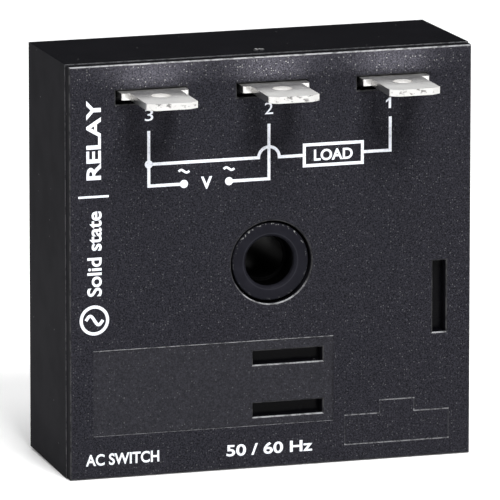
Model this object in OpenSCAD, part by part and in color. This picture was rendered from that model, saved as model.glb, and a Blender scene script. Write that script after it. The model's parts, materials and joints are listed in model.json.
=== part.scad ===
// Encapsulated solid state relay: a square moulded case filled with resin, three quick-connect
// blades in front, an aluminium plate behind, and one bushed mounting hole through the middle.
// Each part is drawn lying on its mounting face, so a height is a distance in front of that
// face. stand() then turns it upright: +X to the right, +Z up, the front towards -Y.

/* [Case] */
// Width and height of the square case
case_w = 50.8; // [50.4:0.1:54]
// Depth from the mounting face to the front panel
case_d = 18.3; // [18.1:0.1:22]
// Thickness of the side walls
side_wall = 1.5; // [1.2:0.1:1.6]
// Thickness of the front wall
front_wall = 1.5; // [1.3:0.1:1.8]
// Distance from the edge of the case to the edge of the raised front panel
panel_inset = 0.1; // [0.06:0.02:0.3]
// Height of the raised front panel above the ledge round it
panel_step = 1.6; // [1:0.1:2]
// How much each side leans in between that ledge and the back
side_lean = 0.3; // [0.1:0.05:0.4]
// Chamfer round the front panel, the slots and the hole for the bushing
edge_cut = 0.15; // [0.1:0.05:0.2]
// Width of the square posts that the circuit board rests on
post_w = 3; // [2:0.5:3]

/* [Front panel marks] */
// Depth of the sunk label area
label_depth = 0.12; // [0.05:0.01:0.3]
// Depth of the fine outline left by a mould insert
outline_depth = 0.08; // [0.04:0.01:0.15]
// Width of that outline
outline_w = 0.14; // [0.1:0.02:0.3]

/* [Slots] */
// Length of every slot in the front wall
slot_l = 8.85; // [8.8:0.05:9.4]
// Width of every slot
slot_w = 1.7; // [1.5:0.05:2]
// Height of the terminal slots above the centre of the case
slot_row = 21.3; // [21:0.1:21.5]

/* [Terminals] */
// Distance between neighbouring terminals
terminal_pitch = 15.15; // [14.5:0.05:15.3]
// Width of a blade
blade_w = 6.35; // [6.3:0.05:6.4]
// Thickness of a terminal's sheet
blade_t = 0.81; // [0.76:0.01:0.84]
// Length of a blade beyond its shoulders
blade_l = 7.5; // [7:0.1:8.2]
// Width across the shoulders
shoulder_w = 8.45; // [8:0.05:8.6]
// How far the shoulders stand in front of the panel
shoulder_out = 1.5; // [0.5:0.1:2]
// Diameter of the detent hole
detent_d = 2.4; // [1.8:0.1:2.6]
// Distance from the shoulders to the centre of the detent hole
detent_at = 2.3; // [2:0.1:4.5]

/* [Mounting hole] */
// Diameter of the through hole, which clears a 5 mm screw
bore_d = 5.4; // [5.2:0.1:5.6]
// Diameter of the wider mouth at the front
mouth_d = 6.2; // [5.8:0.1:6.6]
// Depth of that mouth
mouth_depth = 3.6; // [1:0.1:4]
// Outer diameter of the bushing
bushing_d = 9.6; // [9.2:0.1:9.9]
// Diameter of the case's hole round the bushing
bushing_hole_d = 10.2; // [10.1:0.1:10.6]

/* [Inside] */
// Thickness of the aluminium mounting plate
plate_t = 1.6; // [1.2:0.1:2]
// Height of the circuit board's back above the mounting face
board_at = 7.8; // [7.8:0.1:8.2]
// Thickness of the circuit board
board_t = 1.6; // [1:0.2:1.6]
// Width and height of the square circuit board
board_w = 46; // [45.6:0.1:46.4]

/* [Hidden] */
$fn = 48;

// Play between parts that slip together, and how far a cut runs past a face
play = 0.1;
past = 1;
// The slots and the terminals in them sit a little to the right of the centre line
slot_shift = 0.08;
blade_shift = 0.18;

// Filling hole and vent in the plate, as [x, y, diameter]
fill_hole = [15, 15, 5];
vent_hole = [-15, 15, 2.5];
inner_w = case_w - 2 * side_wall;
cavity_top = case_d - front_wall;
panel_w = case_w - 2 * panel_inset;
board_top = board_at + board_t;
bushing_top = case_d - 0.4;
blade_z = slot_row + (slot_w - blade_t) / 2 - play;
tin = "#c9c9c6";
black = "#26262a";

// Slots without a terminal, as [x, y, angle, depth of the face they open in]
spare_slots = [[2.15, -11.75, 0, label_depth], [2.15, -18.2, 0, label_depth], [21.35, -5.55, 90, 0]];
// Sunk label area and mould insert outline, as [left, bottom, right, top]
label_box = [-22.4, -20.1, 7.85, -9.6];
insert_foot = [9.3, -23.3, 22.65, -19.5];
insert_top = [13.75, 18.25, -17.9];
// Gate mark on the top wall, as [x, distance behind the panel, radius]
gate_mark = [-0.55, 3.65, 0.7];

// Through-hole parts. Two-lead parts are [x, y, angle, body length, body diameter, lead pitch]
lead_d = 0.7;
lead_end = board_at - 1.2;
diodes = [for (x = [7, 11, 15, 19]) [x, 10.2, 90, 5.2, 2.7, 9]];
resistors = [for (x = [9, 12.5, 16, 19.5]) [x, -12.2, 90, 6, 2.3, 9]];
zener = [5, -11, 90, 4, 1.9, 8];
snubber_r = [11.5, 17.6, 0, 6.5, 2.5, 11];
supply_r = [6.5, -20, 0, 13, 4.4, 18];
axial_parts = concat(diodes, resistors, [zener, snubber_r, supply_r]);
// Dual in-line parts are [x, y, body length, pins along each side]
coupler = [-14.5, 1.5, 8.8, 3];
chip = [14.5, -1.2, 9.6, 4];
dil_w = 6.4;
dil_h = 3.4;
dil_lift = 0.5;
dil_row = 7.62;
dil_pitch = 2.54;
// Box, can, disc and transistor parts, as [x, y]
snubber_c = [-3.2, 15.5];
supply_c = [-14, -9];
disc = [-16.5, 14];
transistor = [0, -10.4];
ceramics = [[-18, -17], [-11, -17]];
// The triac lies on the plate behind the board: [x, y of the end of its body where leads leave]
triac = [-10, -6.1];
triac_foot = 2.1;
pad_t = 0.25;
triac_pitch = 2.54;

// Pin places on the board, as [x, y]
function axial_pins(p) = [for (s = [-1, 1])
    [p[0] + s * p[5] / 2 * cos(p[2]), p[1] + s * p[5] / 2 * sin(p[2])]];
function dil_pins(p) = [for (s = [-1, 1], i = [0 : p[3] - 1])
    [p[0] + (i - (p[3] - 1) / 2) * dil_pitch, p[1] + s * dil_row / 2]];
function row_pins(x, y, pitch, n) = [for (i = [0 : n - 1]) [x + (i - (n - 1) / 2) * pitch, y]];
snubber_c_pins = row_pins(snubber_c[0], snubber_c[1], 10, 2);
supply_c_pins = [for (s = [-1, 1]) [supply_c[0] + 7.8, supply_c[1] + s * 1.25]];
disc_pins = row_pins(disc[0], disc[1] - 6, 7.5, 2);
transistor_pins = row_pins(transistor[0], transistor[1], 1.6, 3);
ceramic_pins = [for (c = ceramics) each row_pins(c[0], c[1], 2.54, 2)];
triac_pins = row_pins(triac[0], triac[1] + triac_foot, triac_pitch, 3);
round_pins = concat([for (p = axial_parts) each axial_pins(p)], snubber_c_pins, supply_c_pins,
    disc_pins, transistor_pins, ceramic_pins);
flat_pins = concat(dil_pins(coupler), dil_pins(chip), triac_pins);
slot_x = [for (i = [1, 0, -1]) slot_shift + i * terminal_pitch];
terminal_x = [for (i = [1, 0, -1]) blade_shift + i * terminal_pitch];
leg_pins = [for (x = terminal_x, s = [-1, 1]) [x + s * 2.8, blade_z]];

copper_t = 0.07;
pad_d = 1.5;
leg_pad_d = 2.6;
// Copper on the back of the board, as [width, points]
tracks = [
    [2.2, [[-15.1, 21], [-21.2, 16], [-21.2, -3]]],
    [1.2, [[-21.2, -3], [-20, -4], [-12.5, -4]]],
    [2.2, [[15.1, 21.4], [3, 20.6], [-9, 18.6], [-9, 9], [-7, 4], [-7.5, -4]]],
    [1.6, [[0, 21], [4, 18.5], [4.6, 8], [7, 5.7], [19, 5.7]]],
    [1, [[6, 17.6], [1.8, 15.5]]],
    [1, [[7, 14.7], [11, 14.7]]],
    [1, [[15, 14.7], [19, 14.7]]],
    [1, [[10.7, 2.6], [12, 0], [18.3, -5], [19.5, -7.7]]],
    [1, [[5, -7], [9, -7.7], [12.5, -7.7]]],
    [1, [[-6.2, -10.2], [-4, -14], [-2.5, -20]]],
    [1, [[9, -16.7], [16, -16.7], [15.5, -20]]],
    [0.8, [[-10, -4], [-12, -2.3]]]];

// Turns a part drawn lying on its mounting face upright
module stand() rotate([90, 0, 0]) children();

// A box centred on x and y that stands on the height z
module block(x, y, h, z = 0) translate([-x / 2, -y / 2, z]) cube([x, y, h]);

module at(p) translate([p[0], p[1], 0]) children();

// Round rod from height z0 to z1
module rod(p, d, z0, z1) translate([p[0], p[1], z0]) cylinder(d = d, h = z1 - z0);

// Rod lying along x from x0 to x1 at height z
module lying_rod(x0, x1, d, z) translate([x0, 0, z]) rotate([0, 90, 0])
    cylinder(d = d, h = x1 - x0);

// The case: helper blocks first
// A block from z up whose sides lean in by lean from its top to its foot
module leaning_block(x, y, h, lean, z = 0) translate([0, 0, z]) difference() {
    block(x, y, h);
    for (a = [0, 180]) rotate(a) leaning_side(x, y, h, lean);
    for (a = [90, 270]) rotate(a) leaning_side(y, x, h, lean);
}

module leaning_side(w, l, h, lean) translate([w / 2, -l, h]) rotate([0, atan(lean / h), 0])
    translate([0, 0, -2 * h]) cube([lean + past, 2 * l, 2 * h]);

// A slot through the front wall, with its chamfer, that opens in a face sunk by p[3]
module slot_cut(p) at(p) rotate(p[2]) {
    flare = edge_cut + past;
    block(slot_l, slot_w, front_wall + 2 * past, cavity_top - past);
    leaning_block(slot_l + 2 * flare, slot_w + 2 * flare, flare, flare, case_d - p[3] - edge_cut);
}

module insert_outline(t) polygon([
    [insert_foot[0] + t, insert_foot[1] + t], [insert_foot[2] - t, insert_foot[1] + t],
    [insert_foot[2] - t, insert_foot[3] - t], [insert_top[1] - t, insert_foot[3] - t],
    [insert_top[1] - t, insert_top[2] - t], [insert_top[0] + t, insert_top[2] - t],
    [insert_top[0] + t, insert_foot[3] - t], [insert_foot[0] + t, insert_foot[3] - t]]);

module posts() for (x = [-1, 1], y = [-1, 1])
    translate([x * (inner_w - post_w) / 2, y * (inner_w - post_w) / 2, 0])
        block(post_w, post_w, cavity_top - board_top, board_top);

// The mould's halves part at the ledge, so the sides lean in from there towards the back
module case() color(black) stand() {
    difference() {
        union() {
            leaning_block(case_w, case_w, case_d - panel_step, side_lean);
            block(panel_w, panel_w, panel_step - edge_cut, case_d - panel_step);
            translate([0, 0, case_d]) mirror([0, 0, 1])
                leaning_block(panel_w, panel_w, edge_cut, edge_cut);
            translate([gate_mark[0], case_w / 2 - past, case_d - gate_mark[1]]) rotate([-90, 0, 0])
                cylinder(r = gate_mark[2], h = past + 0.1);
        }
        block(inner_w, inner_w, cavity_top + past, -past);
        for (x = slot_x) slot_cut([x, slot_row, 0, 0]);
        for (p = spare_slots) slot_cut(p);
        rod([0, 0], bushing_hole_d, cavity_top - past, case_d + past);
        translate([0, 0, case_d - edge_cut])
            cylinder(d1 = bushing_hole_d, d2 = bushing_hole_d + 2 * (edge_cut + past), h = edge_cut + past);
        translate([label_box[0], label_box[1], case_d - label_depth])
            cube([label_box[2] - label_box[0], label_box[3] - label_box[1], past]);
        translate([0, 0, case_d - outline_depth]) linear_extrude(past) difference() {
            insert_outline(0);
            insert_outline(outline_w);
        }
    }
    posts();
}

// Mounting bushing, with a collar behind the front wall and two grooves for the resin
module mounting_bushing() color("#1d1d22") stand() rotate_extrude($fn = 96) polygon([
    [bore_d / 2, 0], [bushing_d / 2, 0],
    [bushing_d / 2, 4], [bushing_d / 2 - 0.4, 4.4], [bushing_d / 2 - 0.4, 5.4], [bushing_d / 2, 5.8],
    [bushing_d / 2, 11], [bushing_d / 2 - 0.4, 11.4], [bushing_d / 2 - 0.4, 12.4],
    [bushing_d / 2, 12.8], [bushing_d / 2, cavity_top - 1.3], [bushing_hole_d / 2 + 1, cavity_top - 1.3],
    [bushing_hole_d / 2 + 1, cavity_top - play], [bushing_d / 2, cavity_top - play],
    [bushing_d / 2, bushing_top - 0.12], [bushing_d / 2 - 0.12, bushing_top],
    [mouth_d / 2 + 0.3, bushing_top], [mouth_d / 2, bushing_top - 0.3],
    [mouth_d / 2, bushing_top - mouth_depth], [bore_d / 2, bushing_top - mouth_depth]]);

module bushing_blank() {
    rod([0, 0], bushing_d, 0, case_d);
    rod([0, 0], bushing_hole_d + 2, cavity_top - 1.3, cavity_top + past);
}

// Mounting plate, with a filling hole and a vent for the resin
module mounting_plate() color("#b9bcc0") stand() difference() {
    block(inner_w - 2 * play, inner_w - 2 * play, plate_t);
    rod([0, 0], bushing_d + 2 * play, -past, plate_t + past);
    for (h = [fill_hole, vent_hole]) rod(h, h[2], -past, plate_t + past);
}

// Resin that fills the case round everything inside
module potting_compound() color("#17171a") stand() difference() {
    union() {
        block(inner_w, inner_w, cavity_top - plate_t, plate_t);
        for (h = [fill_hole, vent_hole]) rod(h, h[2], 0.05, plate_t + 0.5);
    }
    bushing_blank();
    posts();
    block(board_w, board_w, board_t, board_at);
    for (x = terminal_x) terminal_shape(x);
    joint_shapes();
    for (p = round_pins) rod(p, lead_d, lead_end, board_at);
    for (p = flat_pins) rod(p, lead_d, lead_end, board_at);
    axial_bodies(axial_parts);
    axial_wires(axial_parts, board_top);
    snubber_capacitor_shape();
    at_each(snubber_c_pins) lead_rod(board_top);
    supply_capacitor_shape();
    supply_capacitor_wires(board_top);
    varistor_shape();
    varistor_wires(board_top);
    transistor_shape();
    at_each(transistor_pins) lead_rod(board_top);
    for (c = ceramics) ceramic_shape(c);
    at_each(ceramic_pins) lead_rod(board_top);
    for (p = [coupler, chip]) { dil_body(p); dil_legs(p, board_top); }
    triac_body_shape();
    triac_tab_shape();
    triac_wires();
    pad_shape();
}

// Terminals: two solder legs, a broad root with ears behind the wall, and the blade
root_top = case_d + shoulder_out;
blade_top = root_top + blade_l;
module terminal_shape(x) translate([x, blade_z + blade_t / 2, 0]) rotate([90, 0, 0])
    linear_extrude(blade_t) difference() {
        union() {
            for (s = [-1, 1]) translate([s * 2.8 - 0.6, lead_end]) square([1.2, board_top - lead_end + past]);
            translate([-shoulder_w / 2, board_top]) square([shoulder_w, root_top - board_top - 0.35]);
            translate([-shoulder_w / 2 + 0.35, board_top]) square([shoulder_w - 0.7, root_top - board_top]);
            for (s = [-1, 1]) translate([s * (shoulder_w / 2 - 0.35), root_top - 0.35]) circle(r = 0.35);
            translate([-5.2, cavity_top - 2]) square([10.4, 2 - play]);
            polygon([[-blade_w / 2, root_top - past], [blade_w / 2, root_top - past],
                [blade_w / 2, blade_top - 0.6], [blade_w / 2 - 1.1, blade_top],
                [1.1 - blade_w / 2, blade_top], [-blade_w / 2, blade_top - 0.6]]);
        }
        translate([0, root_top + detent_at]) circle(d = detent_d);
    }

module terminal(i) color(tin) stand() terminal_shape(terminal_x[i - 1]);
module terminal_1() terminal(1);
module terminal_2() terminal(2);
module terminal_3() terminal(3);

// Circuit board
module circuit_board() color("#2f6b3a") stand() difference() {
    block(board_w, board_w, board_t, board_at);
    rod([0, 0], bushing_d + 1, board_at - past, board_top + past);
    for (p = concat(round_pins, flat_pins)) rod(p, lead_d + play, board_at - past, board_top + past);
    at_each(leg_pins) block(1.3, blade_t + play, board_t + 2 * past, board_at - past);
}

module at_each(places) for (p = places) at(p) children();

module copper_tracks() color("#b87333") stand() translate([0, 0, board_at - copper_t])
    linear_extrude(copper_t) difference() {
        union() {
            for (t = tracks, i = [0 : len(t[1]) - 2]) track(t[1][i], t[1][i + 1], t[0]);
            for (t = tracks, p = t[1]) translate(p) circle(d = 1.12 * t[0]);
            for (p = concat(round_pins, flat_pins)) translate(p) circle(d = pad_d);
            for (p = leg_pins) translate(p) circle(d = leg_pad_d);
        }
        for (p = concat(round_pins, flat_pins)) translate(p) circle(d = lead_d + play);
        for (p = leg_pins) translate(p) square([1.3, blade_t + play], center = true);
    }

// A straight strip from a to b, carried past both ends by the length of its caps
module track(a, b, w, cap = 0) translate(a) rotate(atan2(b[1] - a[1], b[0] - a[0]))
    translate([-cap, -w / 2]) square([norm(b - a) + 2 * cap, w]);

// Solder cones behind the board, cut out round each lead in the part itself
module joint_shapes() {
    cone_h = 0.8;
    for (p = concat(round_pins, flat_pins)) translate([p[0], p[1], board_at - copper_t - cone_h])
        cylinder(d1 = lead_d + 0.15, d2 = pad_d - 0.15, h = cone_h);
    for (p = leg_pins) translate([p[0], p[1], board_at - copper_t - cone_h])
        cylinder(d1 = 1.6, d2 = leg_pad_d - 0.2, h = cone_h);
}

module solder_joints() color("#bcbec2") stand() difference() {
    joint_shapes();
    for (p = concat(round_pins, flat_pins)) rod(p, lead_d, lead_end - past, board_at);
    at_each(leg_pins) block(1.2, blade_t, board_at, 0);
}

// Leads
module lead_rod(top) rod([0, 0], lead_d, lead_end, top);

module at_axial(p) at(p) rotate(p[2]) children();
function axial_z(p) = board_top + 0.3 + p[4] / 2;

// Wires of two-lead parts: along the axis, round the elbow, down through the board
module axial_wires(parts, foot) for (p = parts) at_axial(p) for (s = [-1, 1]) {
    z = axial_z(p);
    mirror([s < 0 ? 1 : 0, 0, 0]) {
        lying_rod(p[3] / 2, p[5] / 2, lead_d, z);
        rod([p[5] / 2, 0], lead_d, foot, z);
        translate([p[5] / 2, 0, z]) sphere(d = lead_d);
    }
}

module axial_leads() color(tin) stand() axial_wires(axial_parts, lead_end);

// Two-lead parts
module axial_bodies(parts) for (p = parts) at_axial(p)
    lying_rod(-p[3] / 2, p[3] / 2, p[4], axial_z(p));

// A ring let into a body, from a to b along it
module band(p, a, b, depth = 0.08) at_axial(p) translate([0, 0, axial_z(p)]) rotate([0, 90, 0])
    difference() {
        translate([0, 0, a]) cylinder(d = p[4], h = b - a);
        translate([0, 0, a - past]) cylinder(d = p[4] - 2 * depth, h = b - a + 2 * past);
    }

band_places = [-1.8, -0.8, 0.2, 1.7];
band_w = 0.5;
module resistor_rings() for (p = resistors, a = band_places) band(p, a, a + band_w);

module rectifier_diodes() color("#202024") stand() difference() {
    axial_bodies(diodes);
    diode_rings();
}
module diode_rings() for (p = diodes) band(p, 1.4, 2.1);
module diode_bands() color("#c8c8c8") stand() diode_rings();
module zener_diode() color("#c46a2c") stand() difference() {
    axial_bodies([zener]);
    band(zener, 1, 1.6);
}
module zener_band() color("#1a1a1a") stand() band(zener, 1, 1.6);
module timing_resistors() color("#c8a878") stand() difference() {
    axial_bodies(resistors);
    resistor_rings();
}
module resistor_bands() color("#7a3b1e") stand() resistor_rings();
module snubber_resistor() color("#5f8fb0") stand() axial_bodies([snubber_r]);
module supply_resistor() color("#8a8f86") stand() axial_bodies([supply_r]);

// Snubber capacitor: a moulded box
module snubber_capacitor_shape() at(snubber_c) block(13, 5.5, 6.6, board_top + 0.2);
module snubber_capacitor() color("#c9b037") stand() snubber_capacitor_shape();
module snubber_capacitor_leads() color(tin) stand() at_each(snubber_c_pins) lead_rod(board_top + 0.2);

// Supply capacitor: a can lying on the board, sealed at its lead end
can_d = 6.3;
can_l = 11;
can_z = board_top + 0.3 + can_d / 2;
seal_l = 1.2;
module supply_capacitor_shape() at(supply_c) lying_rod(-can_l / 2, can_l / 2, can_d, can_z);
module supply_capacitor() color("#2b3f63") stand() difference() {
    supply_capacitor_shape();
    at(supply_c) lying_rod(can_l / 2 - seal_l, can_l / 2 + past, can_d - 0.8, can_z);
}
module supply_capacitor_seal() color("#1b1b1b") stand() at(supply_c)
    lying_rod(can_l / 2 - seal_l, can_l / 2, can_d - 0.8, can_z);
module supply_capacitor_wires(foot) for (p = supply_c_pins) {
    at([0, p[1]]) lying_rod(supply_c[0] + can_l / 2, p[0], lead_d, can_z);
    rod(p, lead_d, foot, can_z);
    translate([p[0], p[1], can_z]) sphere(d = lead_d);
}
module supply_capacitor_leads() color(tin) stand() supply_capacitor_wires(lead_end);

// Varistor: a coated disc laid flat, with its leads bent down
disc_d = 9.5;
disc_t = 3.8;
disc_z = board_top + 0.3 + disc_t / 2;
module varistor_shape() rod(disc, disc_d, disc_z - disc_t / 2, disc_z + disc_t / 2);
module varistor() color("#2d62a8") stand() varistor_shape();
module varistor_wires(foot) for (p = disc_pins) {
    rod(p, lead_d, foot, disc_z);
    translate([p[0], p[1], disc_z]) sphere(d = lead_d);
    difference() {
        translate([p[0], p[1], disc_z]) rotate([-90, 0, 0]) cylinder(d = lead_d, h = 6);
        varistor_shape();
    }
}
module varistor_leads() color(tin) stand() varistor_wires(lead_end);

// Gate transistor: a round body with one flat side
module transistor_shape() at(transistor) difference() {
    rod([0, 0], 4.8, board_top + 1.8, board_top + 6.6);
    translate([-3, 1.4, board_top + 1]) cube([6, 3, 7]);
}
module gate_transistor() color("#1f1f22") stand() transistor_shape();
module gate_transistor_leads() color(tin) stand() at_each(transistor_pins) lead_rod(board_top + 1.8);

// Ceramic capacitors
module ceramic_shape(c) at(c) translate([0, -1.2, board_top + 3.6]) rotate([-90, 0, 0])
    cylinder(d = 5.4, h = 2.4);
module ceramic_capacitors() color("#c98a3a") stand() for (c = ceramics) ceramic_shape(c);
module ceramic_capacitor_leads() color(tin) stand() difference() {
    at_each(ceramic_pins) lead_rod(board_top + 2);
    for (c = ceramics) ceramic_shape(c);
}

// Dual in-line parts: the coupler that triggers the triac, and the control chip
module dil_body(p) at(p) difference() {
    block(p[2], dil_w, dil_h, board_top + dil_lift);
    rod([-p[2] / 2, 0], 1.6, board_top + dil_lift + dil_h - 0.4, board_top + dil_lift + dil_h + past);
}
module dil_legs(p, foot) at_each(dil_pins(p)) rod([0, 0], lead_d, foot, board_top + 2);
module dil_arms(p) for (q = dil_pins(p)) {
    s = sign(q[1] - p[1]);
    translate([q[0] - 0.35, min(p[1] + s * dil_w / 2, q[1]), board_top + 1.7])
        cube([lead_d, (dil_row - dil_w) / 2, 0.3]);
}
module dil_metal(p) color(tin) stand() {
    dil_legs(p, lead_end);
    dil_arms(p);
}
module trigger_coupler() color("#e4e2da") stand() dil_body(coupler);
module trigger_coupler_pins() dil_metal(coupler);
module control_chip() color("#1f1f22") stand() dil_body(chip);
module control_chip_pins() dil_metal(chip);

// Triac, its tab on the thermal pad that joins it to the plate
tab_z = plate_t + pad_t;
tab_t = 1.3;
triac_w = 10.2;
body_l = 9.2;
tab_l = 6.2;
lead_z = tab_z + 2.4;
module triac_body_shape() at(triac) translate([0, -body_l / 2, 0]) difference() {
    block(triac_w, body_l, 4.5, tab_z);
    block(triac_w + past, body_l + past, tab_t, tab_z);
}
module triac_tab_shape() at(triac) difference() {
    translate([0, -(body_l + tab_l) / 2, 0]) block(triac_w, body_l + tab_l, tab_t, tab_z);
    rod([0, -body_l - 3.4], 3.7, tab_z - past, tab_z + tab_t + past);
}
module triac_wires() for (p = triac_pins) {
    rod(p, lead_d, lead_z, board_at);
    translate([p[0], p[1], lead_z]) sphere(d = lead_d);
    translate([p[0], triac[1], lead_z]) rotate([-90, 0, 0]) cylinder(d = lead_d, h = triac_foot);
}
module triac_body() color("#1c1c1f") stand() triac_body_shape();
module triac_tab() color("#b0b2b5") stand() triac_tab_shape();
module triac_leads() color(tin) stand() {
    triac_wires();
    for (p = triac_pins) rod(p, lead_d, board_at, board_top + 0.6);
}
module pad_shape() at(triac) translate([0, -(body_l + tab_l) / 2, 0])
    block(triac_w + 2, body_l + tab_l + 2, pad_t, plate_t);
module thermal_pad() color("#8fa3ad") stand() pad_shape();

// Printed wiring diagram: lines of ink on the front panel
ink_t = 0.03;
ink_w = 0.37;
print_lines = [
    [[-15.4, 16.85], [-15.4, 10.3]], [[-0.33, 16.85], [-0.33, 10.3]], [[15, 16.85], [15, 12.9]],
    [[-15.4, 12.95], [-1.63, 12.95]], [[0.97, 12.9], [4.13, 12.9]], [[11.48, 12.9], [15, 12.9]],
    [[-15.4, 10.3], [-11, 10.3]], [[-5.35, 10.3], [-0.33, 10.3]],
    [[4.13, 14.15], [11.48, 14.15]], [[4.13, 11.6], [11.48, 11.6]],
    [[4.13, 14.15], [4.13, 11.6]], [[11.48, 14.15], [11.48, 11.6]]];
print_dots = [[-15.4, 12.95], [-11, 10.3], [-5.35, 10.3]];
module printed_diagram() color("#eceef2") stand() translate([0, 0, case_d]) linear_extrude(ink_t) {
    for (l = print_lines) track(l[0], l[1], ink_w, ink_w / 2);
    for (p = print_dots) translate(p) circle(d = 1);
    translate([-0.33, 12.92]) intersection() {
        difference() {
            circle(r = 1.3 + ink_w / 2);
            circle(r = 1.3 - ink_w / 2);
        }
        translate([-2, 0]) square([4, 2]);
    }
}

case();
mounting_bushing();
mounting_plate();
potting_compound();
terminal_1();
terminal_2();
terminal_3();
circuit_board();
copper_tracks();
solder_joints();
triac_body();
triac_tab();
triac_leads();
thermal_pad();
trigger_coupler();
trigger_coupler_pins();
control_chip();
control_chip_pins();
snubber_capacitor();
snubber_capacitor_leads();
snubber_resistor();
supply_capacitor();
supply_capacitor_seal();
supply_capacitor_leads();
supply_resistor();
varistor();
varistor_leads();
rectifier_diodes();
diode_bands();
zener_diode();
zener_band();
gate_transistor();
gate_transistor_leads();
timing_resistors();
resistor_bands();
ceramic_capacitors();
ceramic_capacitor_leads();
axial_leads();
printed_diagram();
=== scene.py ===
import json
import math

import bpy
from mathutils import Matrix, Vector


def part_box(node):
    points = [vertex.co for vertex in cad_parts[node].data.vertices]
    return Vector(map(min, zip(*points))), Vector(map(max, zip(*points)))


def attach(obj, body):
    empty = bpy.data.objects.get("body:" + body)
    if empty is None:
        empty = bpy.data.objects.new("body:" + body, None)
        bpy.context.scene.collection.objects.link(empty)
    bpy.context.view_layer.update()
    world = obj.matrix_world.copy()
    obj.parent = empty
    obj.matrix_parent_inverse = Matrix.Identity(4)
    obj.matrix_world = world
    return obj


# Solid state relay module: looks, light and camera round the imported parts.
# Lengths are millimetres unless a note says m, and mm turns them into metres.

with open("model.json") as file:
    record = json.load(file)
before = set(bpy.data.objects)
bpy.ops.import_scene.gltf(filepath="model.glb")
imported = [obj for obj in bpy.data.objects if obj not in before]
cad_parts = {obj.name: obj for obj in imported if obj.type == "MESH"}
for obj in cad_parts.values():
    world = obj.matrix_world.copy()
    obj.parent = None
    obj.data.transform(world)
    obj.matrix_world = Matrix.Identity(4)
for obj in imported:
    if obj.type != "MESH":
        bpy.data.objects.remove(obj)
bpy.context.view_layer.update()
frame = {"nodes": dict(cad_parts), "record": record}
nodes = frame["nodes"]
mm = 0.001
print("frame loaded:", len(nodes), "parts")


# shader maths

class Wire:  # an output socket that can be used in sums
    def __init__(self, graph, socket):
        self.graph, self.socket = graph, socket

    def __add__(self, other): return self.graph.sum("ADD", self, other)
    def __radd__(self, other): return self.graph.sum("ADD", other, self)
    def __sub__(self, other): return self.graph.sum("SUBTRACT", self, other)
    def __rsub__(self, other): return self.graph.sum("SUBTRACT", other, self)
    def __mul__(self, other): return self.graph.sum("MULTIPLY", self, other)
    def __rmul__(self, other): return self.graph.sum("MULTIPLY", other, self)
    def __truediv__(self, other): return self.graph.sum("DIVIDE", self, other)
    def __pow__(self, other): return self.graph.sum("POWER", self, other)
    def reach(self): return self.graph.sum("ABSOLUTE", self, 0)
    def above(self, limit): return self.graph.sum("GREATER_THAN", self, limit)
    def below(self, limit): return self.graph.sum("LESS_THAN", self, limit)
    def within(self, low, high): return self.above(low) * self.below(high)

    def ramp(self, low, high):  # 0 below low, 1 above high, smooth between
        settings = {"interpolation_type": "SMOOTHSTEP"}
        return self.graph.node("ShaderNodeMapRange", settings, {0: self, 1: low, 2: high})


def scaled(colour, factor):
    return tuple(channel * factor for channel in colour)


class Graph:  # one material and its nodes
    def __init__(self, name, **fixed):
        self.material = bpy.data.materials.new(name)
        self.material.use_nodes = True
        self.tree = self.material.node_tree
        self.tree.nodes.clear()
        self.output = self.tree.nodes.new("ShaderNodeOutputMaterial")
        self.surface = self.tree.nodes.new("ShaderNodeBsdfPrincipled")
        self.tree.links.new(self.surface.outputs[0], self.output.inputs[0])
        self.feed(self.surface, {key.replace("_", " "): value for key, value in fixed.items()})
        self.place = self.node("ShaderNodeTexCoord", output="Object")

    def feed(self, target, inputs):
        for key, value in inputs.items():
            socket = target.inputs[key]
            if isinstance(value, Wire):
                self.tree.links.new(value.socket, socket)
            elif isinstance(value, (tuple, list)) and len(value) == 3 and socket.type == "RGBA":
                socket.default_value = (*value, 1)
            else:
                socket.default_value = value

    def node(self, kind, settings=None, inputs=None, output=0):
        made = self.tree.nodes.new(kind)
        for key, value in (settings or {}).items():
            setattr(made, key, value)
        self.feed(made, inputs or {})
        return Wire(self, made.outputs[output])

    def sum(self, operation, a, b):
        return self.node("ShaderNodeMath", {"operation": operation}, {0: a, 1: b})

    def mix(self, mask, a, b):  # colours
        return self.node("ShaderNodeMix", {"data_type": "RGBA"}, {0: mask, 6: a, 7: b}, 2)

    def noise(self, perMm, detail=2.0, rough=0.5, stretch=(1, 1, 1)):
        spot = self.node("ShaderNodeMapping", {}, {"Vector": self.place, "Scale": stretch})
        return self.node("ShaderNodeTexNoise", {}, {"Vector": spot, "Scale": perMm / mm,
                                                    "Detail": detail, "Roughness": rough})

    def cells(self, perMm, output="Distance"):  # round dots, each with its own random colour
        return self.node("ShaderNodeTexVoronoi", {}, {"Vector": self.place, "Scale": perMm / mm},
                         output)

    def axis(self, index, of=None):  # one number of a vector, of the place if none is given
        return self.node("ShaderNodeSeparateXYZ", {}, {0: of or self.place}, index)

    def position(self):  # across, depth in front of the mounting face, and height, in mm
        return self.axis(0) / mm, self.axis(1) / -mm, self.axis(2) / mm

    def facing(self):  # how far a face looks sideways, to the front and up, from -1 to 1
        normal = self.node("ShaderNodeTexCoord", output="Normal")
        return self.axis(0, normal), self.axis(1, normal) * -1, self.axis(2, normal)

    def bump(self, height, depthMm, strength=1.0):
        return self.node("ShaderNodeBump", {}, {"Height": height, "Strength": strength,
                                                "Distance": depthMm * mm})

    def finish(self, **inputs):
        self.feed(self.surface, {key.replace("_", " "): value for key, value in inputs.items()})
        return self.material


# materials

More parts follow.
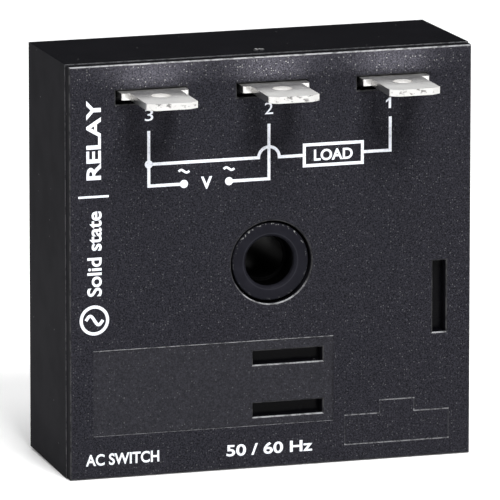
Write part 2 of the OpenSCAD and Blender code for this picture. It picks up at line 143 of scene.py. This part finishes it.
def casePlastic():
    look = {
        "panel": (0.0158, 0.0156, 0.0196), "pit": 0.50, "peak": 1.9,  # grain, times the colour
        "side": (0.0106, 0.0104, 0.0130), "top": (0.0034, 0.0034, 0.0046), "sheen": 1.25,
        "rimWearAndHighlight": (0.045, 0.045, 0.047), "lit": (0.26, 0.26, 0.27), "ledge": (0.10, 0.10, 0.105),
        "speck": (0.13, 0.13, 0.135), "glintInBladeLight": (0.19, 0.19, 0.19),
        "sunk": (0.042, 0.042, 0.046), "mote": (0.16, 0.16, 0.16), "gate": (0.40, 0.40, 0.40),
        "grainPerMm": 5.2, "grainDepth": 0.045, "specksPerMm": 3.3, "motesPerMm": 0.55,
        "rough": 0.55, "topGloss": 0.34,
    }
    at = {  # mm: depths in front of the mounting face, heights, and stretches across
        "panelFrom": 18.0, "ledge": (16.0, 17.5), "marksFrom": 18.16,
        "labelFloor": (18.165, 18.195), "outlineFloor": (18.20, 18.25),
        "outlineLevels": (-17.9, -19.5, -23.3), "outlineReach": 0.17,
        "labelTop": -9.6, "labelAcross": (-22.4, 7.85), "lipReach": 0.06,
        "byBlades": (19.0, 23.0), "bladeSlots": (19.0, 23.5), "gateTop": 25.43,
    }
    g = Graph("caseMoulding", Specular_IOR_Level=0.012, IOR=1.5)
    across, depth, height = g.position()
    ahead, upward = g.facing()[1:]

    # where: the panel, the ledge behind it, edges with wear and painted highlight, and the walls of
    # the shallow marks
    facesFront = ahead.ramp(0.80, 0.95)
    facesUp = upward.ramp(0.5, 0.9)
    front = facesFront * depth.above(at["panelFrom"])
    ledge = facesFront * depth.within(*at["ledge"])
    rimWearAndHighlight = ahead.ramp(0.12, 0.35) * (1 - ahead.ramp(0.90, 0.985))
    level = upward.reach().ramp(0.2, 0.5)
    step = depth.above(at["marksFrom"]) * (1 - ahead.ramp(0.3, 0.6)) * level
    sunk = depth.within(*at["labelFloor"])
    breaks = g.noise(1.3, 3, 0.7).ramp(0.34, 0.60)
    levels = sum((height - line).reach().below(at["outlineReach"]) for line in at["outlineLevels"])
    groove = front * depth.within(*at["outlineFloor"]) * (0.12 + levels)
    lip = front * (height - at["labelTop"]).reach().below(at["lipReach"])
    lip = lip * across.within(*at["labelAcross"])
    slotShade = height.within(*at["bladeSlots"])  # the lips of the slots under the blades get no painted highlight: painted shade

    # the panel: grain, specks painted bright as glints, and a lighter sunk area
    grain = g.noise(look["grainPerMm"], 3, 0.7)
    fine = g.noise(look["grainPerMm"] * 2.2, 2, 0.6)
    dots = g.cells(look["specksPerMm"])
    bright = g.axis(0, g.cells(look["specksPerMm"], "Color")).ramp(0.35, 1.0)
    speck = (1 - dots.ramp(0.06, 0.34)) * bright ** 2
    mottle = (grain * 0.6 + fine * 0.4).ramp(0.40, 0.62)
    panel = g.mix(mottle, scaled(look["panel"], look["pit"]), scaled(look["panel"], look["peak"]))
    # the glints are painted brighter from the blades' height up, as painted light thrown up by the
    # blades
    glint = g.mix(height.ramp(*at["byBlades"]), look["speck"], look["glintInBladeLight"])
    panel = g.mix(speck * 0.8, panel, glint)
    panel = g.mix(sunk * 0.22, panel, look["sunk"])

    # the smooth sides: a soft cloud and a few motes of dust
    cloud = g.noise(0.25, 2, 0.5)
    # the top is painted darker than the sides: painted shade
    side = g.mix(facesUp, look["side"], look["top"])
    side = g.mix(cloud.ramp(0.35, 0.7) * 0.4, side, scaled(look["top"], look["sheen"]))
    chosen = g.axis(1, g.cells(look["motesPerMm"], "Color")).above(0.35)
    motes = (1 - g.cells(look["motesPerMm"]).ramp(0.03, 0.06)) * chosen
    side = g.mix(motes * 0.8, side, look["mote"])

    colour = g.mix(front, side, panel)
    # the edges are painted lighter, partly wear and partly painted highlight
    colour = g.mix(rimWearAndHighlight * (0.2 + breaks * 0.8), colour, look["rimWearAndHighlight"])
    # the upper edges get a bright painted highlight, left out in the blades' shade
    upperRimHighlight = rimWearAndHighlight * upward.ramp(0.3, 0.6) * (1 - slotShade)
    colour = g.mix(upperRimHighlight * (0.3 + breaks * 0.7), colour, look["lit"])
    # the ledge is painted lighter as a thin painted highlight line
    colour = g.mix(ledge * (0.3 + breaks * 0.7), colour, look["ledge"])
    # the groove walls, the steps of the shallow marks and the label's top lip get painted
    # highlights
    colour = g.mix((groove + step + lip) * (0.2 + breaks * 0.8), colour, look["lit"])
    torn = g.noise(1.6, 3, 0.7).ramp(0.50, 0.58)  # the broken top of the gate mark
    colour = g.mix(height.above(at["gateTop"]) * torn, colour, look["gate"])

    rough = look["rough"] - speck * 0.2 * front + cloud * 0.06 - rimWearAndHighlight * 0.15
    flat = g.noise(1.6, 3, 0.6) * 0.04
    relief = (grain * 0.7 + fine * 0.5 + dots * -0.3) * front + flat * (1 - front)
    return g.finish(Base_Color=colour, Roughness=rough - facesUp * look["topGloss"],
                    Normal=g.bump(relief, look["grainDepth"], 0.9))


def satinBlack(name, base, rough, perMm=0.36, depth=0.004):
    g = Graph(name, Specular_IOR_Level=0.5, IOR=1.5)
    cloud = g.noise(perMm, 3, 0.6)
    fine = g.noise(perMm * 40 / 3, 2, 0.5)
    return g.finish(Base_Color=g.mix(cloud.ramp(0.4, 0.75), base, scaled(base, 1.5)),
                    Roughness=rough + cloud * 0.12, Normal=g.bump(fine + cloud, depth, 0.6))


def bushingNylon():
    look = {"base": (0.0098, 0.0098, 0.0132), "flashAndHighlight": (0.22, 0.22, 0.22),
            "lip": (0.028, 0.028, 0.034), "boreShade": (0.0004, 0.0004, 0.0005), "rough": 0.50}
    at = {"outerEdge": 4.62, "lip": 3.45, "mouthFrom": 17.6, "boreTo": 17.0}  # radii, then depths
    g = Graph("bushingNylon", Specular_IOR_Level=0.02, IOR=1.5)
    across, depth, height = g.position()
    radius = (across ** 2 + height ** 2) ** 0.5  # from the hole's centre line
    mouth = depth.above(at["mouthFrom"])
    outer = 1 - (radius - at["outerEdge"]).reach().ramp(0.04, 0.18)
    # the upper side is weighted up for a painted highlight
    upper = height.ramp(-1.0, 3.5) * 0.8 + 0.2
    torn = outer * upper * mouth * g.noise(2.4, 2, 0.6).ramp(0.56, 0.64)  # moulding flash, with a painted highlight that is stronger on the upper side
    lip = (1 - (radius - at["lip"]).reach().ramp(0.02, 0.10)) * mouth
    cloud = g.noise(0.5, 3, 0.6)
    colour = g.mix(cloud.ramp(0.4, 0.75), look["base"], scaled(look["base"], 1.3))
    # a lighter ring at the mouth's edge: painted highlight
    colour = g.mix(lip * 0.5, colour, look["lip"])
    # the bore is painted near black: painted shade inside the hole
    colour = g.mix(depth.below(at["boreTo"]), colour, look["boreShade"])
    colour = g.mix(torn, colour, look["flashAndHighlight"])
    return g.finish(Base_Color=colour, Roughness=look["rough"] + cloud * 0.12,
                    Normal=g.bump(g.noise(4.0, 2, 0.5) + cloud, 0.005, 0.6))


def tinPlate():
    look = {"plate": (0.72, 0.715, 0.70), "dull": (0.56, 0.555, 0.545), "wearAndShade": (0.16, 0.155, 0.15),
            "edge": (0.78, 0.77, 0.75), "bladeTopShade": (0.42, 0.418, 0.41), "hole": (0.70, 0.69, 0.67),
            "tip": (0.55, 0.55, 0.54), "rough": 0.40, "holeDiffuse": 0.45}
    at = {"bladeTopShade": (19.5, 24.5), "shadedRoots": (20.0, 26.5), "tipFrom": 26.5, "holeDepth": 22.1,
          "holesAcross": (-14.97, 0.18, 15.33), "holeReach": 1.35}  # mm
    g = Graph("tinPlate", Metallic=1.0)
    across, depth = g.position()[:2]
    sideways, ahead, upward = g.facing()
    rolled = g.noise(3.4, 3, 0.65, stretch=(1, 0.4, 1))
    smudge = g.noise(0.5, 2, 0.5)
    fine = g.noise(7.0, 2, 0.6)
    scuff = g.noise(1.9, 3, 0.7, stretch=(0.6, 1, 1)).ramp(0.53, 0.63)
    flat = upward.reach().ramp(0.7, 0.95)
    tip = ahead.ramp(0.75, 0.95) * depth.above(at["tipFrom"])
    holes = sum((across - hole).reach().below(at["holeReach"]) for hole in at["holesAcross"])
    hole = holes * (1 - flat) * (depth - at["holeDepth"]).reach().below(at["holeReach"])
    tone = (smudge * 0.4 + rolled * 0.35 + fine * 0.25).ramp(0.38, 0.64)
    colour = g.mix(tone, look["dull"], look["plate"])
    colour = g.mix(1 - flat, colour, look["edge"])
    # the flat tops are painted darker towards their tips: painted shade
    bladeTopShade = flat * depth.ramp(*at["bladeTopShade"]) * (0.55 + rolled * 0.4)
    colour = g.mix(bladeTopShade, colour, look["bladeTopShade"])
    # the sides of the blades near their roots are painted darker: painted shade
    shadedRoots = sideways.reach().ramp(0.85, 0.97) * (1 - depth.ramp(*at["shadedRoots"]))
    colour = g.mix(shadedRoots * 0.8, colour, look["wearAndShade"])
    # the walls of the holes are painted brighter and less metallic: painted highlight
    colour = g.mix(hole, colour, look["hole"])
    colour = g.mix(tip * 0.5, colour, look["tip"])
    # real scuffs on the tips take the same dark colour
    colour = g.mix(scuff * tip * 0.85, colour, look["wearAndShade"])
    rough = look["rough"] + tone * 0.08 - (1 - flat) * 0.12 + scuff * tip * 0.2
    return g.finish(Base_Color=colour, Roughness=rough, Metallic=1 - hole * look["holeDiffuse"],
                    Normal=g.bump(rolled * 0.6 + fine * 0.4, 0.012, 0.7))


def brushedPlate():
    look = {"metal": (0.58, 0.585, 0.60), "dull": (0.42, 0.425, 0.44), "rough": 0.34}
    g = Graph("platedAluminium", Metallic=1.0)
    lines = g.noise(6.0, 3, 0.65, stretch=(0.02, 1, 1))
    cloud = g.noise(0.12, 3, 0.6)
    scratch = g.noise(2.2, 2, 0.5, stretch=(0.05, 1, 1.3)).ramp(0.66, 0.72)
    colour = g.mix(cloud.ramp(0.3, 0.7), look["metal"], look["dull"])
    return g.finish(Base_Color=colour, Roughness=look["rough"] + lines * 0.16 - scratch * 0.1,
                    Normal=g.bump(lines + scratch, 0.006, 0.7))


def castResin():
    look = {"base": (0.0018, 0.0018, 0.0025), "filler": (0.010, 0.010, 0.012), "rough": 0.20}
    g = Graph("castResin", Specular_IOR_Level=0.05, IOR=1.54)
    wave = g.noise(0.35, 2, 0.5)
    filler = g.noise(2.5, 1, 0.5).ramp(0.78, 0.84)
    return g.finish(Base_Color=g.mix(filler, look["base"], look["filler"]),
                    Roughness=look["rough"] + wave * 0.12, Normal=g.bump(wave, 0.12, 0.8))


def whiteInk():
    look = {"thin": (0.60, 0.62, 0.68), "full": (0.80, 0.82, 0.88), "rough": 0.45}
    g = Graph("whiteInk", Specular_IOR_Level=0.4)
    cloud = g.noise(3.5, 3, 0.6)
    return g.finish(Base_Color=g.mix(cloud.ramp(0.30, 0.55), look["thin"], look["full"]),
                    Roughness=look["rough"] + cloud * 0.15,
                    Normal=g.bump(g.noise(6.0, 2, 0.5), 0.012, 0.6))


def coated(name, base, rough=0.4, metallic=0.0, mottle=0.25, perMm=1.5, depth=0.01):
    g = Graph(name, Metallic=metallic)
    cloud = g.noise(perMm, 3, 0.6)
    return g.finish(Base_Color=g.mix(cloud.ramp(0.3, 0.7), scaled(base, 1 - mottle), base),
                    Roughness=rough + cloud * 0.15, Normal=g.bump(cloud, depth, 0.5))


def boardLacquer():
    look = {"valley": (0.015, 0.085, 0.03), "thread": (0.03, 0.15, 0.055), "rough": 0.3}
    g = Graph("boardLacquer", Specular_IOR_Level=0.5)
    weave = g.noise(2.5, 1, 0.5, stretch=(1, 1, 0.15)) + g.noise(2.5, 1, 0.5, stretch=(0.15, 1, 1))
    return g.finish(Base_Color=g.mix(weave.ramp(0.8, 1.2), look["valley"], look["thread"]),
                    Roughness=look["rough"] + weave * 0.06, Normal=g.bump(weave, 0.01, 0.5))


finishes = {  # coated: name, colour, roughness, metallic, mottle, grain per mm, grain depth
    "case_plastic": casePlastic(),
    "bushing_plastic": bushingNylon(),
    "plate_aluminium": brushedPlate(),
    "potting_resin": castResin(),
    "tinned_brass": tinPlate(),
    "board_laminate": boardLacquer(),
    "copper_foil": coated("copperFoil", (0.72, 0.36, 0.20), 0.3, 1.0),
    "solder": coated("solder", (0.62, 0.62, 0.63), 0.22, 1.0, 0.2, 2.0, 0.02),
    "black_epoxy": satinBlack("blackEpoxy", (0.014, 0.014, 0.015), 0.55, 0.6, 0.01),
    "tinned_copper": coated("tinnedWire", (0.66, 0.65, 0.62), 0.26, 1.0),
    "pad_rubber": coated("thermalPad", (0.26, 0.32, 0.36), 0.6, 0.0, 0.2, 3.0, 0.02),
    "white_epoxy": coated("whiteEpoxy", (0.70, 0.69, 0.64), 0.5, 0.0, 0.1, 3.0, 0.008),
    "yellow_casing": coated("yellowCasing", (0.62, 0.44, 0.06), 0.35, 0.0, 0.12),
    "blue_lacquer": coated("blueLacquer", (0.10, 0.26, 0.45), 0.3),
    "can_sleeve": coated("canSleeve", (0.025, 0.05, 0.15), 0.3),
    "seal_rubber": coated("sealRubber", (0.018, 0.018, 0.018), 0.65),
    "grey_enamel": coated("greyEnamel", (0.24, 0.26, 0.23), 0.55, 0.0, 0.2, 4.0, 0.03),
    "blue_coating": coated("blueCoating", (0.03, 0.12, 0.38), 0.35, 0.0, 0.2, 0.8, 0.04),
    "silver_paint": coated("silverPaint", (0.55, 0.55, 0.55), 0.4),
    "diode_glass": coated("diodeGlass", (0.60, 0.20, 0.06), 0.08),
    "black_paint": coated("blackPaint", (0.015, 0.015, 0.015), 0.4),
    "tan_lacquer": coated("tanLacquer", (0.55, 0.38, 0.22), 0.4),
    "brown_paint": coated("brownPaint", (0.18, 0.05, 0.03), 0.4),
    "orange_coating": coated("orangeCoating", (0.55, 0.24, 0.06), 0.4, 0.0, 0.2, 0.8, 0.04),
    "print_ink": whiteInk(),
}

for part in frame["record"]["subparts"]:
    mesh = nodes[part["node"]].data
    mesh.materials.clear()
    mesh.materials.append(finishes[part["material_slot"]])
print("materials assigned:", len(finishes))


# helpers for new pieces

def keep(piece, slotName):  # gives a new piece its finish, its body and its slot
    piece.data.materials.clear()
    piece.data.materials.append(finishes[slotName])
    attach(piece, "root")


def linkNew(name, data):
    made = bpy.data.objects.new(name, data)
    bpy.context.scene.collection.objects.link(made)
    return made


def asMesh(made, matrix=None):  # a curve or a modified mesh becomes a plain mesh in place
    bpy.context.view_layer.update()
    graph = bpy.context.evaluated_depsgraph_get()
    mesh = bpy.data.meshes.new_from_object(made.evaluated_get(graph))
    name = made.name
    bpy.data.objects.remove(made)
    if matrix is not None:
        mesh.transform(matrix)
    return linkNew(name, mesh)


def softened(part, width, segments=3, degrees=30, smooth=False):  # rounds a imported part's edges
    weld = part.modifiers.new("weld", "WELD")
    weld.merge_threshold = 0.002 * mm
    bevel = part.modifiers.new("soft edges", "BEVEL")
    bevel.width = width * mm
    bevel.segments = segments
    bevel.limit_method = "ANGLE"
    bevel.angle_limit = math.radians(degrees)
    if smooth:
        normals = part.modifiers.new("even shading", "WEIGHTED_NORMAL")
        normals.keep_sharp = True
    for face in part.data.polygons:
        face.use_smooth = smooth


edges = {"case": 0.12, "blade": 0.07, "bushing": 0.08}  # radius in mm
softened(nodes["case"], edges["case"])
for number in (1, 2, 3):
    softened(nodes[f"terminal_{number}"], edges["blade"], degrees=25)
softened(nodes["mounting_bushing"], edges["bushing"], 2, 25, True)
print("edges of the case, blades and bushing rounded")


# print
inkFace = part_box("printed_diagram")[0].y  # front of the ink
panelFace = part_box("case")[0].y
inkDepth = panelFace - inkFace

lettering = {  # words, centre, cap height, width, turned by, extra weight of the strokes
    "mark_3": ("3", (-15.36, 18.98), 1.50, 1.05, 0, 0.0),
    "mark_2": ("2", (-0.33, 18.93), 1.50, 1.05, 0, 0.0),
    "word_load": ("LOAD", (7.80, 12.88), 1.35, 4.9, 0, 0.05),
    "mark_v": ("V", (-8.17, 10.29), 1.50, 1.40, 0, 0.06),
    "word_relay": ("RELAY", (-22.33, 16.30), 1.80, 9.7, 90, 0.06),
    "word_solid_state": ("Solid state", (-22.28, 2.40), 1.80, 10.4, 90, 0.05),
    "word_ac_switch": ("AC SWITCH", (-18.77, -22.93), 1.40, 9.2, 0, 0.04),
    "word_frequency": ("50 / 60 Hz", (-0.23, -22.93), 1.40, 10.9, 0, 0.04),
}


def onPanel(x, z, turn=0):  # from flat drawing to the panel's face
    return (Matrix.Translation((x * mm, panelFace - inkDepth / 2, z * mm))
            @ Matrix.Rotation(math.radians(90), 4, "X")
            @ Matrix.Rotation(math.radians(turn), 4, "Z"))


capital = 0.729  # a capital's height in the built-in font at size 1


def printWord(name, words, centre, capHeight, width, turn, weight):
    curve = bpy.data.curves.new(name, "FONT")
    curve.body = words
    curve.resolution_u = 6
    curve.size = capHeight * mm / capital
    curve.offset = weight * mm
    curve.extrude = inkDepth / 2
    made = asMesh(linkNew(name, curve))
    xs = [v.co.x for v in made.data.vertices]
    ys = [v.co.y for v in made.data.vertices]
    stretch = width * mm / (max(xs) - min(xs))
    middle = Vector(((max(xs) + min(xs)) / 2, 0, 0))
    lift = Vector((0, (max(ys) + min(ys)) / 2 if len(words) == 1 else capHeight * mm / 2, 0))
    made.data.transform(onPanel(*centre, turn) @ Matrix.Diagonal((stretch, 1, 1, 1))
                        @ Matrix.Translation(-middle - lift))
    keep(made, "print_ink")


for name, row in lettering.items():
    printWord(name, *row)


def inkSolid(name, outlines):  # closed loops of (x, y) in mm, extruded to the ink's depth
    curve = bpy.data.curves.new(name, "CURVE")
    curve.dimensions = "2D"
    curve.fill_mode = "BOTH"
    curve.extrude = inkDepth / 2
    for loop in outlines:
        spline = curve.splines.new("POLY")
        spline.points.add(len(loop) - 1)
        for point, (x, y) in zip(spline.points, loop):
            point.co = (x * mm, y * mm, 0, 1)
        spline.use_cyclic_u = True
    return linkNew(name, curve)


def waveLoop(length, rise, weight, steps=20):  # one period of a sine, as a ribbon
    upper, lower = [], []
    for i in range(steps + 1):
        t = i / steps
        x, y = (t - 0.5) * length, rise * math.sin(2 * math.pi * t)
        slope = math.atan2(rise * 2 * math.pi / length * math.cos(2 * math.pi * t), 1)
        dx, dy = -math.sin(slope) * weight / 2, math.cos(slope) * weight / 2
        upper.append((x + dx, y + dy))
        lower.append((x - dx, y - dy))
    return upper + lower[::-1]


def ringLoops(radius, weight, steps=48):  # the outer and inner circle of a ring
    return [[(r * math.cos(2 * math.pi * i / steps), r * math.sin(2 * math.pi * i / steps))
             for i in range(steps)] for r in (radius + weight / 2, radius - weight / 2)]


one = {"centre": (14.95, 18.72), "stem": 0.30, "height": 1.3, "flag": 0.34}  # the numeral 1
stem, high, flag = one["stem"] / 2, one["height"] / 2, one["flag"]
digit = inkSolid("mark_1", [[(-stem, -high), (stem, -high), (stem, high), (-stem * 0.4, high),
                             (-stem - flag, high - flag), (-stem - flag, high - flag * 1.7),
                             (-stem, high - flag)]])
keep(asMesh(digit, onPanel(*one["centre"])), "print_ink")

waves = {"length": 1.35, "rise": 0.17, "weight": 0.28,
         "places": {"wave_left": (-11.0, 11.86), "wave_right": (-5.35, 11.84)}}
for name, place in waves["places"].items():
    wave = inkSolid(name, [waveLoop(waves["length"], waves["rise"], waves["weight"])])
    keep(asMesh(wave, onPanel(*place)), "print_ink")

symbol = {"centre": (-22.25, -5.74), "radius": 1.65, "weight": 0.38, "length": 2.1, "rise": 0.55}
badge = inkSolid("symbol_alternating", [
    *ringLoops(symbol["radius"], symbol["weight"]),
    waveLoop(symbol["length"], symbol["rise"], symbol["weight"])])
keep(asMesh(badge, onPanel(*symbol["centre"])), "print_ink")

bar = {"centre": (-22.30, 9.39), "halfLength": 1.9, "halfWeight": 0.13}
wide, high = bar["halfLength"], bar["halfWeight"]
divider = inkSolid("divider_bar", [[(-wide, -high), (wide, -high), (wide, high), (-wide, high)]])
keep(asMesh(divider, onPanel(*bar["centre"])), "print_ink")
print("print made:", len(lettering) + len(waves["places"]) + 3, "pieces")


# floor, light and camera
floor = {"size": 6.0, "dark": (0.86, 0.86, 0.86), "pale": (0.90, 0.90, 0.90), "rough": 0.8,
         "glow": 0.14}  # size in m; the glow thins the object's shadow
half = floor["size"] / 2
plane = bpy.data.meshes.new("floor")
plane.from_pydata([(-half, -half, 0), (half, -half, 0), (half, half, 0), (-half, half, 0)], [],
                  [(0, 1, 2, 3)])
ground = linkNew("floor", plane)
ground.location.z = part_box("case")[0].z
g = Graph("paleFloor", Specular_IOR_Level=0.2, Emission_Strength=floor["glow"])
g.feed(g.surface, {"Emission Color": (1.0, 1.0, 1.0)})
tone = g.noise(0.01, 2, 0.5)
plane.materials.append(g.finish(Base_Color=g.mix(tone, floor["dark"], floor["pale"]),
                                Roughness=floor["rough"] + tone * 0.1))


def awayFrom(azimuth, elevation):  # direction from the object, in degrees; the panel faces 0, 0
    turn, rise = math.radians(azimuth), math.radians(elevation)
    level = math.cos(rise)
    return Vector((math.sin(turn) * level, -math.cos(turn) * level, math.sin(rise)))


lights = {  # place round the object as azimuth, elevation, distance (m), size (m), power (W)
    "overhead": (10, 76, 1.0, 0.6, 7.0),
    "front": (4, 46, 1.3, 0.5, 19.0),
    "leftSide": (-70, 25, 1.2, 0.5, 2.0),
    "rear": (165, 40, 1.5, 0.8, 6.0),
}
for name, (azimuth, elevation, distance, size, power) in lights.items():
    lamp = bpy.data.lights.new(name, "AREA")
    lamp.shape = "DISK"
    lamp.size, lamp.energy = size, power
    away = awayFrom(azimuth, elevation)
    holder = linkNew(name, lamp)
    holder.location = away * distance
    holder.rotation_mode = "QUATERNION"
    holder.rotation_quaternion = away.to_track_quat("Z", "Y")

bounce = {"width": 7.0, "length": 6.0, "fromTip": 4.5, "lift": 0.15, "power": 0.0034,
          "colour": (1.0, 0.98, 0.93)}  # mm and W: the light that each blade throws up the panel
for number in (1, 2, 3):
    low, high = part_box(f"terminal_{number}")
    lamp = bpy.data.lights.new(f"bladeBounce{number}", "AREA")
    lamp.shape = "RECTANGLE"
    lamp.size, lamp.size_y = bounce["width"] * mm, bounce["length"] * mm
    lamp.energy, lamp.color = bounce["power"], bounce["colour"]
    holder = linkNew(lamp.name, lamp)
    holder.location = ((low.x + high.x) / 2, low.y + bounce["fromTip"] * mm,
                       high.z + bounce["lift"] * mm)
    holder.rotation_euler = (math.radians(180), 0, 0)
    holder.visible_camera = False

worldPower = 0.01
world = bpy.data.worlds.new("studio")
world.use_nodes = True
background = world.node_tree.nodes["Background"]
background.inputs["Color"].default_value = (1, 1, 1, 1)
background.inputs["Strength"].default_value = worldPower
bpy.context.scene.world = world
bpy.context.scene.view_settings.view_transform = "Standard"

view = {  # degrees and mm
    "azimuth": -17.251, "elevation": 12.03, "roll": 0.012, "distance": 1106.9,
    "lens": 650.97, "sensor": 36, "aimRight": 2.845, "aimUp": -2.1735,
}
back = awayFrom(view["azimuth"], view["elevation"])
right = Vector((0, 0, 1)).cross(back).normalized()
up = back.cross(right)
cosine, sine = math.cos(math.radians(view["roll"])), math.sin(math.radians(view["roll"]))
right, up = right * cosine + up * sine, up * cosine - right * sine
camera = linkNew("camera", bpy.data.cameras.new("camera"))
camera.data.lens, camera.data.sensor_width = view["lens"], view["sensor"]
camera.data.clip_start, camera.data.clip_end = 0.01, 20
spot = right * view["aimRight"] + up * view["aimUp"] + back * view["distance"]
axes = Matrix((right, up, back)).transposed().to_4x4()
camera.matrix_world = Matrix.Translation(spot * mm) @ axes
bpy.context.scene.camera = camera
print("floor, light and camera set")
